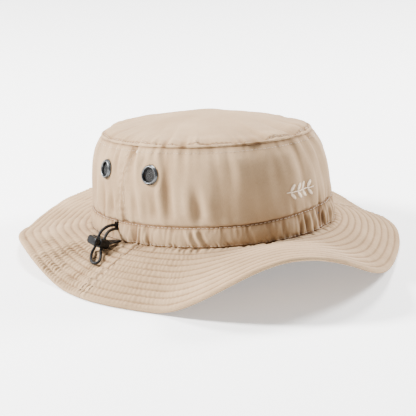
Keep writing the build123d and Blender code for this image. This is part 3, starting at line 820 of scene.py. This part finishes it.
def make_brim(cloth, stiff, thread):
    fine, coarse, inner = to_edge(1.5, 0.83), to_edge(2.0, 1.6), np.linspace(1.0, BRIM_WIDTH - 2.5, 24)
    spans = {"front": BRIM_SEAMS, "back": (BRIM_SEAMS[1], BRIM_SEAMS[0] + 360)}
    for half, (start, end) in spans.items():
        angles, run = even_angles(start, end, 0.52)
        a, b = grid(angles, fine)
        # painted shade: darker in the quilting's hollows and along the sunk rows of stitches and their
        # needle holes; lighter on rubbed puffs, and the lighter edge is wear
        shade_and_wear = shade_and_wear_from(brim_relief(a, b, 0) - 0.45, 2.9)
        from_row = (row_phase(b) + 0.5) % 1.0 - 0.5
        stitch_row_shade = 0.55 + 0.45 * needle_holes(a, np.round((GIRTH + 2 * np.pi * b) / (STITCH + STITCH_GAP)))
        shade_and_wear = shade_and_wear - 0.3 * gauss(from_row * ROW_GAP, 0.75) * stitch_row_shade * (b < BRIM_WIDTH - LAST_ROW + 2)
        shade_and_wear = np.where(b > BRIM_WIDTH - 0.9, 0.8, shade_and_wear)
        upper, lower = brim_top(a, b), brim_top(a, b, -CLOTH)
        piece = shell(f"brim_cloth_outer_{half}", upper, lower, cloth, run, fine, shade_and_wear=shade_and_wear)
        stands_for(piece, "hat", [f"brim_upper_{half}"])
        angles, run = even_angles(start, end, 1.2)
        a, b = grid(angles, coarse)
        # painted shade in the lining's hollows, lighter on its rubbed puffs
        shade_and_wear = shade_and_wear_from(brim_relief(a, b, 10) - 0.3, 3.4)
        upper, lower = brim_under(a, b), brim_under(a, b, -CLOTH)
        piece = shell(f"brim_cloth_lining_{half}", upper, lower, cloth, run, coarse, shade_and_wear=shade_and_wear)
        stands_for(piece, "hat", [f"brim_lower_{half}"])
        angles, run = even_angles(start, end, 3.0)
        a, b = grid(angles, inner)
        place, normal = brim_reference(a, b), brim_normal(a, b)
        upper, lower = place + normal * 1.05, place + normal * 0.8
        piece = shell(f"brim_stiffener_{half}", upper, lower, stiff, run, inner)
        stands_for(piece, "hat", [f"brim_interlining_{half}"])
    angles, _ = even_angles(0, 360, 0.8)
    distances = [BRIM_WIDTH - LAST_ROW - ROW_GAP * row for row in range(BRIM_ROWS)]
    rows_top = [all_round(brim_top, angles, distance) for distance in distances]
    rows_under = [all_round(brim_under, angles, distance) for distance in distances]
    for seam in BRIM_SEAMS:
        for side in (-1.2, 1.2):
            rows_top.append((brim_top, np.full(60, seam + side), np.linspace(2, BRIM_WIDTH - 2, 60)))
    stitches("brim_stitching_top", rows_top, thread)
    stitches("brim_stitching_under", rows_under, thread)


def make_crown(cloth, thread):
    levels = np.concatenate([
        np.arange(0.4, 11, 2.5), np.arange(11.5, WALL_HEIGHT + 0.2, 0.8), [WALL_HEIGHT + 0.3]])
    for half, (start, end) in {"front": (189.0, 351.0), "back": (-9.0, 189.0)}.items():
        angles, run = even_angles(start, end, 0.85)
        a, h = grid(angles, levels)
        keep = np.ones(a.shape, bool)
        for vent in VENT_ANGLES:
            keep &= from_vent(a, h, vent) > VENT_CUT
        relief = wall_out(a, h)
        # painted shade in the fold valleys, under the top seam's overhang and in the crease at the band's
        # line, with lighter rubbed fold crests and a darker line down each side seam
        shade_and_wear = shade_and_wear_from(np.where(h > 19, relief, 0.0), 13.0) - 0.2 * gauss(seam_distance(a, h), 1.2)
        shade_and_wear = shade_and_wear - 0.3 * gauss(WALL_HEIGHT - 0.6 - h, 1.2) - 0.3 * gauss(h - band_line(a) - 0.2, 0.9)
        upper, lower = wall(a, h), wall(a, h, -CLOTH)
        piece = shell(f"crown_cloth_{half}", upper, lower, cloth, run, levels, keep=keep, shade_and_wear=shade_and_wear)
        stands_for(piece, "hat", [f"crown_{half}_panel"])
    rings = np.concatenate([
        np.linspace(0, 0.7, 34)[:-1], np.linspace(0.7, 0.96, 26)[:-1], np.linspace(0.96, 1.0, 8),
        1 + LIP * np.array([0.25, 0.5, 0.75, 1.0])])
    angles, run = even_angles(0, 360, 1.0)
    a, k = grid(angles[:-1], rings)
    from_seam = (1 - k) * DOME_REACH
    # painted shade in the dome's pleat valleys and along its sunk row of stitches, lighter on rubbed pleat
    # crests and at the rubbed seam edge
    folds = 0.0
    for _, pitch, seed, skew, reach, _ in DOME_GATHERS:
        folds = folds + pleats(a, pitch, seed, skew * from_seam) * np.exp(-from_seam / reach)
    level, peaks = DOME_PULL
    fold_shade_and_rub = 0.16 * folds * pull(a, (level, [(*peak[:3], 1.0) for peak in peaks]))
    stitch_row_shade = 0.42 * gauss(from_seam - 2.0, 1.0) * (0.35 + 0.65 * needle_holes(a, 150))
    shade_and_wear = np.clip(0.5 + fold_shade_and_rub + 0.12 * gauss(from_seam, 0.9) - stitch_row_shade, 0, 1)
    upper, lower = dome(a, k), dome(a, k, -CLOTH)
    piece = shell("crown_cloth_top", upper, lower, cloth, run[:-1], rings * 85, ring=True, shade_and_wear=shade_and_wear)
    places = np.array([v.co[:2] for v in piece.data.vertices])
    set_uv(piece.data, places / MM)
    stands_for(piece, "hat", ["crown_top_panel"])
    rows = [all_round(dome, angles, 1 - 2.0 / DOME_REACH), all_round(wall, angles, WALL_HEIGHT - 4.0)]
    for side in (0, 1):
        for offset in (-1.3, 1.3):
            h = np.linspace(BAND_HEIGHT + 1, WALL_HEIGHT - 5, 80)
            rows.append((wall, seam_angle(side, h) + offset, h))
    stitches("crown_stitching", rows, thread)


def make_band(cloth, thread):
    shares = np.concatenate([[-0.06, -0.035, -0.01], np.linspace(0.03, 1.0, 22), [1.04, 1.08]])
    angles, run = even_angles(0, 360, 0.62)
    a, share = grid(angles[:-1], shares)
    h = share * band_line(a)
    x, y, _, _ = oval(a)
    _, exit_y, _, _ = oval(EXIT_ANGLE)
    off = np.hypot((y - exit_y) / 2.3, (h - EXIT_HEIGHT) / 2.9)
    keep = ~((off < 1) & (x < 0))
    # painted shade in the band's gathers and in the creases at its foot and its stitched top line, lighter
    # on rubbed puffs
    shade_and_wear = shade_and_wear_from(band_out(a, h) - 1.1, 4.5) - 0.35 * gauss(h, 1.0) - 0.3 * gauss(h - band_line(a), 0.8)
    upper, lower = band(a, h), band(a, h, -CLOTH)
    piece = shell("drawcord_band", upper, lower, cloth, run[:-1], shares * BAND_HEIGHT, True, keep, shade_and_wear)
    stands_for(piece, "hat", ["drawcord_channel"])
    rows = [(band, angles, band_line(angles) - 0.3), all_round(band, angles, 1.6)]
    stitches("band_stitching", rows, thread)


def lining(angle, height, lift=0.0):
    """The sweatband's face, inside the crown."""
    x, y, _, _ = oval(angle)
    inset = np.interp(height, [0, 12, 20, 30], [4.7, 4.7, 3.3, 2.8])
    soft = 0.35 * noise(x / 9, y / 9, height / 30, 60) + 0.15 * noise(x / 3, y / 3, height / 12, 61)
    for row in SWEATBAND_ROWS:
        soft = soft - 0.3 * gauss(height - row, 0.8)
    return crown(angle, height, -inset - 0.35 - soft + lift)


def inner_face(angle, height, lift=0.0):
    return lining(angle, height, -0.8 - lift)


def seam_tape(angle, height, lift=0.0):
    """The face of the tapes that bind the crown's seams inside."""
    x, y, _, _ = oval(angle)
    soft = 0.25 * noise(x / 3.4, y / 3.4, height / 8, 62)
    return crown(angle, height, -2.6 + soft + lift)


def make_inside(cloth, tape, label, thread):
    levels = np.concatenate([np.arange(0.3, 29.6, 1.3), [30.0]])
    angles, run = even_angles(0, 360, 1.8)
    a, h = grid(angles[:-1], levels)
    piece = shell("sweatband_cloth", lining(a, h, -0.8), lining(a, h), cloth, run[:-1], levels, True)
    stands_for(piece, "hat", ["sweatband"])
    levels = np.linspace(56.0, 64.8, 8)
    a, h = grid(angles[:-1], levels)
    piece = shell("crown_seam_binding", seam_tape(a, h, -0.5), seam_tape(a, h), tape, run[:-1], levels, True)
    stands_for(piece, "hat", ["top_seam_tape"])
    levels = np.linspace(31.0, 56.5, 20)
    for side, start, end in (("left", 348.0, 354.0), ("right", 186.0, 192.0)):
        angles, run = even_angles(start, end, 1.0)
        a, h = grid(angles, levels)
        piece = shell(f"side_seam_binding_{side}", seam_tape(a, h, -0.5), seam_tape(a, h), tape, run, levels)
        stands_for(piece, "hat", [f"side_seam_tape_{side}"])
    angles, run = even_angles(82.0, 98.0, 1.0)
    levels = np.linspace(5.0, 25.0, 18)
    a, h = grid(angles, levels)
    curl = 0.9 + 0.8 * ((25 - h) / 20) ** 2
    piece = shell("blank_label", lining(a, h, -curl - 0.35), lining(a, h, -curl), label, run, levels)
    stands_for(piece, "hat", ["size_label"])
    angles, _ = even_angles(0, 360, 1.5)
    stitches("sweatband_stitching", [all_round(inner_face, angles, row) for row in SWEATBAND_ROWS], thread)


# ---------------------------------------------------------------- vents, sprig, cord and lock
def rod(path, radius, sides):
    """Points and faces of a round rod along a path, each an array of places."""
    path = np.asarray(path, float)
    along = np.gradient(path, axis=0)
    along /= np.linalg.norm(along, axis=1, keepdims=True)
    side = np.cross(along[0], [0.3, 0.5, 0.8])
    points = []
    radius = np.broadcast_to(radius, (len(path), sides))
    for p, t, r in zip(path, along, radius):
        side = side - t * np.dot(side, t)
        side /= np.linalg.norm(side)
        other = np.cross(t, side)
        for i in range(sides):
            turn = 2 * math.pi * i / sides
            points.append(p + r[i] * (side * math.cos(turn) + other * math.sin(turn)))
    faces = []
    for n in range(len(path) - 1):
        for i in range(sides):
            j = (i + 1) % sides
            faces.append((n * sides + i, n * sides + j, (n + 1) * sides + j, (n + 1) * sides + i))
    faces.append(tuple(range(sides))[::-1])
    faces.append(tuple((len(path) - 1) * sides + i for i in range(sides)))
    return np.array(points), faces


def merged(name, parts, material):
    """One mesh object from many (points, faces) parts, millimetres."""
    points, faces, count = [], [], 0
    for p, f in parts:
        points.append(p)
        faces += [tuple(i + count for i in face) for face in f]
        count += len(p)
    return add_mesh(name, np.concatenate(points), faces, material)


def make_vents(gauze):
    """A woven gauze in each eyelet: wires over and under one another."""
    radius, pitch, wire = 4.95, 0.55, 0.15
    for number, angle in enumerate(VENT_ANGLES, 1):
        low, high = (np.array(c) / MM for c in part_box(f"vent_mesh_{number}"))
        centre = (low + high) / 2
        step = crown(angle + 1.0, VENT_HEIGHT, 0.0) - crown(angle - 1.0, VENT_HEIGHT, 0.0)
        rise = crown(angle, VENT_HEIGHT + 3, 0.0) - crown(angle, VENT_HEIGHT - 3, 0.0)
        across = step / np.linalg.norm(step)
        normal = np.cross(across, rise)
        normal /= np.linalg.norm(normal)
        upward = np.cross(normal, across)
        parts = []
        lines = int(radius / pitch)
        for way, (u, v) in enumerate(((across, upward), (upward, across))):
            for i in range(-lines, lines + 1):
                half = math.sqrt(max(radius**2 - (i * pitch) ** 2, 0.0))
                if half < pitch:
                    continue
                t = np.linspace(-half, half, max(5, int(2 * half / pitch * 2)))
                weave = wire * 0.9 * np.cos(np.pi * (t / pitch + i + way))
                path = centre + t[:, None] * u + i * pitch * v + weave[:, None] * normal
                parts.append(rod(path, wire, 5))
        piece = merged(f"vent_gauze_{number}", parts, gauze)
        stands_for(piece, "hat", [f"vent_mesh_{number}"])


def make_sprig(thread):
    """A generic embroidered sprig: satin stitches laid across a stem and eight leaves."""
    height, offset, lift = 31.0, 11.0, 0.22
    stem_reach, stem_step, stem_stitch, stem_radius = 12.5, 1.9, 2.3, 0.3
    leaf_places, leaf_length, leaf_width, leaf_tilt = (-9.0, -3.0, 3.0, 9.0), 2.9, 1.0, 50
    satin_step, satin_radii = 0.42, np.array([0.1, 0.2, 0.22, 0.2, 0.1])[:, None]
    parts = []

    def on_wall(x, y):
        angle = 270.0 + np.degrees(np.arcsin((x + offset) / HALF_WIDTH))
        return wall(angle, height + y, lift)

    def leaf(middle_x, middle_y, tilt):
        ca, sa = math.cos(math.radians(tilt)), math.sin(math.radians(tilt))
        for t in np.arange(-leaf_length, leaf_length + 0.01, satin_step):
            half = leaf_width * math.sqrt(max(1 - (t / leaf_length) ** 2, 0.0)) + 0.12
            s = np.linspace(-half, half, 5)
            x = middle_x + t * ca - (s + 0.25 * s) * sa
            y = middle_y + t * sa + s * ca
            parts.append(rod(on_wall(x, y), satin_radii, 5))

    for start in np.arange(-stem_reach, stem_reach + 0.1, stem_step):
        x = np.linspace(start, start + stem_stitch, 6)
        parts.append(rod(on_wall(x, 0.12 * np.sin(x)), stem_radius, 6))
    for x in leaf_places:
        for side in (1, -1):
            leaf(x + 1.8, leaf_length * side, leaf_tilt * side)
    piece = merged("sprig_embroidery", parts, thread)
    stands_for(piece, "hat", ["embroidered_sprig"])


def cord_path():
    """The cord's centreline, read from a NURBS spline through its route."""
    curve = bpy.data.curves.new("cord_route", "CURVE")
    curve.dimensions, curve.resolution_u = "3D", 8
    spline = curve.splines.new("NURBS")
    spline.points.add(len(CORD_ROUTE) - 1)
    for point, place in zip(spline.points, CORD_ROUTE):
        point.co = (*place, 1.0)
    spline.order_u = 3
    spline.use_endpoint_u = True
    route = new_object("cord_route", curve)
    mesh = bpy.data.meshes.new_from_object(route)
    places = [tuple(v.co) for v in mesh.vertices]
    bpy.data.objects.remove(route)
    bpy.data.curves.remove(curve)
    bpy.data.meshes.remove(mesh)
    return places


def make_cord(braid):
    path = cord_path()
    line = np.array(path) / MM
    run = np.concatenate([[0], np.cumsum(np.linalg.norm(np.diff(line, axis=0), axis=1))])
    steps = np.arange(0, run[-1], 0.45)
    dense = np.stack([np.interp(steps, run, line[:, i]) for i in range(3)], axis=-1)
    sides = 16
    turn = 2 * np.pi * np.arange(sides) / sides
    weave = np.cos(4 * turn[None] + steps[:, None] * 2.4) * np.cos(4 * turn[None] - steps[:, None] * 2.4)
    radius = CORD_DIAMETER / MM / 2 * (0.97 + 0.05 * weave)
    points, faces = rod(dense, radius, sides)
    obj = merged("drawcord_free_end", [(points, faces)], braid)
    vertex = np.arange(len(points))
    set_uv(obj.data, np.stack([steps[vertex // sides], vertex % sides * 0.43], axis=-1))
    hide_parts("drawcord_loop")
    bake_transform(obj)


def make_tab(ribbon):
    """The black ribbon tab, folded double, from the base seam to the cord lock."""
    low, high = (np.array(c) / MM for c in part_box("toggle_tab"))
    foot = np.array([high[0], -7.8, 21.4])
    end = np.array([low[0], -9.6, high[2] - 0.45])
    t, w = np.linspace(0, 1, 30), np.linspace(-1, 1, 17)
    tt, ww = grid(t, w)
    half_width = 1.1 + 3.6 * tt**0.8
    centre = foot + (end - foot) * tt[..., None]
    centre[..., 1] += ww * half_width
    up = np.array([0.15, 0.0, 0.99])
    bow = 0.35 * np.sin(np.pi * tt) - 0.25 * ww**2
    rib = 0.05 * np.sin(tt * 2 * np.pi * 15)
    upper = centre + up * (0.42 + bow + rib)[..., None]
    lower = centre + up * (-0.42 + bow - rib)[..., None]
    piece = shell("toggle_ribbon", upper, lower, ribbon, t * 14, w * 5)
    stands_for_blend(piece)


def stands_for_blend(piece):
    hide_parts("toggle_tab")
    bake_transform(piece)


def make_spring(steel):
    """The cord lock's coil spring, made at one length to fit its part."""
    low, high = (np.array(c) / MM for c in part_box("cord_lock_spring"))
    rise = math.radians(LOCK_RISE)
    outboard = np.array([-math.cos(rise), 0.0, math.sin(rise)])
    side = np.array([0.0, 1.0, 0.0])
    other = np.cross(outboard, side)
    reach = (high - low)[0] - 2 * (SPRING_RADIUS + SPRING_WIRE / 2) * math.sin(rise)
    long = reach / math.cos(rise) - SPRING_WIRE
    foot = (low + high) / 2 - outboard * long / 2
    t = np.linspace(0, 1, 150)
    turn = 2 * np.pi * SPRING_TURNS * t
    path = (foot + outboard * (long * t)[:, None] + SPRING_RADIUS * np.cos(turn)[:, None] * side
            + SPRING_RADIUS * np.sin(turn)[:, None] * other)
    piece = merged("lock_spring_coil", [rod(path, SPRING_WIRE / 2, 10)], steel)
    stands_for(piece, "cord_lock", ["cord_lock_spring"])
    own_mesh(piece)


def dress(node, material):
    """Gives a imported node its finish."""
    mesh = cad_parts[node].data
    if mesh.materials:
        mesh.materials[0] = material
    else:
        mesh.materials.append(material)


make_camera()
make_stage()

beige = cloth_material(
    "beige_twill", rgba(0.345, 0.231, 0.131), rgba(0.295, 0.194, 0.107), rgba(0.395, 0.27, 0.158))
lining_cloth = cloth_material(
    "lining_twill", rgba(0.31, 0.208, 0.122), rgba(0.275, 0.18, 0.104), rgba(0.345, 0.236, 0.142))
tape_cloth = cloth_material(
    "tape_cotton", rgba(0.56, 0.45, 0.34), rgba(0.52, 0.41, 0.3), rgba(0.6, 0.49, 0.37), 60.0)
stiffener = cloth_material(
    "stiffener", rgba(0.8, 0.79, 0.76), rgba(0.76, 0.75, 0.72), rgba(0.84, 0.83, 0.8), 20.0)
label_cloth = cloth_material(
    "label_satin", rgba(0.86, 0.85, 0.82), rgba(0.83, 0.82, 0.79), rgba(0.9, 0.89, 0.86), 90.0, 0.5)
sewing = thread_material("beige_thread", rgba(0.4, 0.275, 0.17))
silk = thread_material("cream_thread", rgba(0.85, 0.68, 0.5), 1800.0, 0.4)
braid = braid_material()
ribbon = ribbon_material()
plastic = plastic_material()
gunmetal = metal_material("gunmetal", rgba(0.075, 0.08, 0.085), rgba(0.17, 0.18, 0.185), 0.36)
steel = metal_material("spring_wire", rgba(0.5, 0.5, 0.5), rgba(0.7, 0.7, 0.7), 0.25)
wire = thread_material("dark_gauze", rgba(0.006, 0.0065, 0.007), 2500.0, 0.6, 0.0)

make_cord(braid)
make_brim(beige, stiffener, sewing)
make_crown(beige, sewing)
make_band(beige, sewing)
make_inside(lining_cloth, tape_cloth, label_cloth, sewing)
make_vents(wire)
make_sprig(silk)
make_tab(ribbon)
make_spring(steel)
for n in range(1, 5):
    dress(f"vent_eyelet_{n}", gunmetal)
    dress(f"vent_washer_{n}", gunmetal)
dress("cord_lock_body", plastic)
dress("cord_lock_button", plastic)
dress("drawcord_in_channel", braid)
